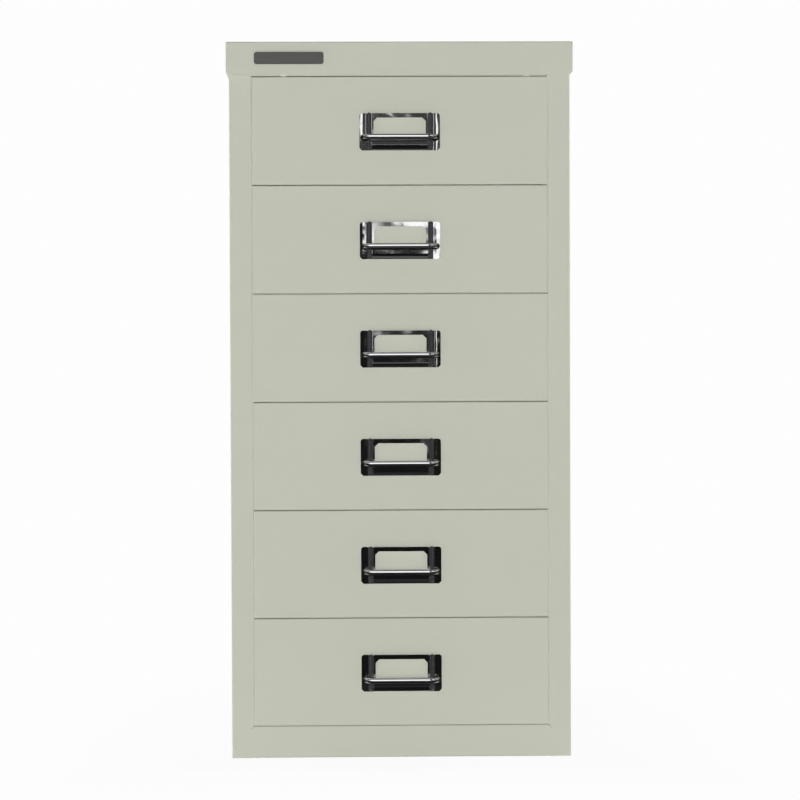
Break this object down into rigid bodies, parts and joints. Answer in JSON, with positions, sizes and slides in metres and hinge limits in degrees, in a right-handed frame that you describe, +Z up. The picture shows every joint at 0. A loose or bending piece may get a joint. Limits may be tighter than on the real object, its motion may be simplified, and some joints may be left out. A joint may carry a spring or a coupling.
{
  "type": "small metal drawer cabinet",
  "caption": "Narrow floor-standing steel cabinet: a stack of shallow sliding drawers, each with a chrome label plate and bow pull, in a folded carcass under a flat cap.",
  "frame": {"origin": "middle of the footprint at floor level, the middle of the whole object's box in X and Y", "axes": "+Z up; the drawer fronts face -Y and the drawers open towards -Y; +X is to the right of someone who stands in front"},
  "size_m": [0.2844, 0.3956, 0.59],
  "materials": {
    "paint": "satin powder coat, grey-green beige",
    "chrome": "polished",
    "zinc": "bright zinc plate",
    "foot_plastic": "matte black",
    "badge_metal": "dark gunmetal lacquer"
  },
  "bodies": {
    "carcass": {"top_cap": "paint", "left_side": "paint", "right_side": "paint", "back_panel": "paint", "base_panel": "paint", "bottom_rail": "paint", "header_rail": "paint", "header_buffers": "paint", "left_runner_panel": "paint", "right_runner_panel": "paint", "runner_left_1": "paint", "runner_left_2": "paint", "runner_left_3": "paint", "runner_left_4": "paint", "runner_left_5": "paint", "runner_left_6": "paint", "runner_right_1": "paint", "runner_right_2": "paint", "runner_right_3": "paint", "runner_right_4": "paint", "runner_right_5": "paint", "runner_right_6": "paint", "glide_feet": "foot_plastic", "badge_blank": "badge_metal"},
    "drawer_1": {"drawer_front_1": "paint", "drawer_tray_1": "paint", "label_plate_1": "chrome", "pull_bar_1": "chrome", "pull_nuts_1": "zinc"},
    "drawer_2": {"drawer_front_2": "paint", "drawer_tray_2": "paint", "label_plate_2": "chrome", "pull_bar_2": "chrome", "pull_nuts_2": "zinc"},
    "drawer_3": {"drawer_front_3": "paint", "drawer_tray_3": "paint", "label_plate_3": "chrome", "pull_bar_3": "chrome", "pull_nuts_3": "zinc"},
    "drawer_4": {"drawer_front_4": "paint", "drawer_tray_4": "paint", "label_plate_4": "chrome", "pull_bar_4": "chrome", "pull_nuts_4": "zinc"},
    "drawer_5": {"drawer_front_5": "paint", "drawer_tray_5": "paint", "label_plate_5": "chrome", "pull_bar_5": "chrome", "pull_nuts_5": "zinc"},
    "drawer_6": {"drawer_front_6": "paint", "drawer_tray_6": "paint", "label_plate_6": "chrome", "pull_bar_6": "chrome", "pull_nuts_6": "zinc"}
  },
  "joints": [
    {"name": "drawer_1_slide", "type": "slide", "parent": "carcass", "child": "drawer_1", "axis": [0, -1, 0], "range_m": [0, 0.26]},
    {"name": "drawer_2_slide", "type": "slide", "parent": "carcass", "child": "drawer_2", "axis": [0, -1, 0], "range_m": [0, 0.26]},
    {"name": "drawer_3_slide", "type": "slide", "parent": "carcass", "child": "drawer_3", "axis": [0, -1, 0], "range_m": [0, 0.26]},
    {"name": "drawer_4_slide", "type": "slide", "parent": "carcass", "child": "drawer_4", "axis": [0, -1, 0], "range_m": [0, 0.26]},
    {"name": "drawer_5_slide", "type": "slide", "parent": "carcass", "child": "drawer_5", "axis": [0, -1, 0], "range_m": [0, 0.26]},
    {"name": "drawer_6_slide", "type": "slide", "parent": "carcass", "child": "drawer_6", "axis": [0, -1, 0], "range_m": [0, 0.26]}
  ]
}
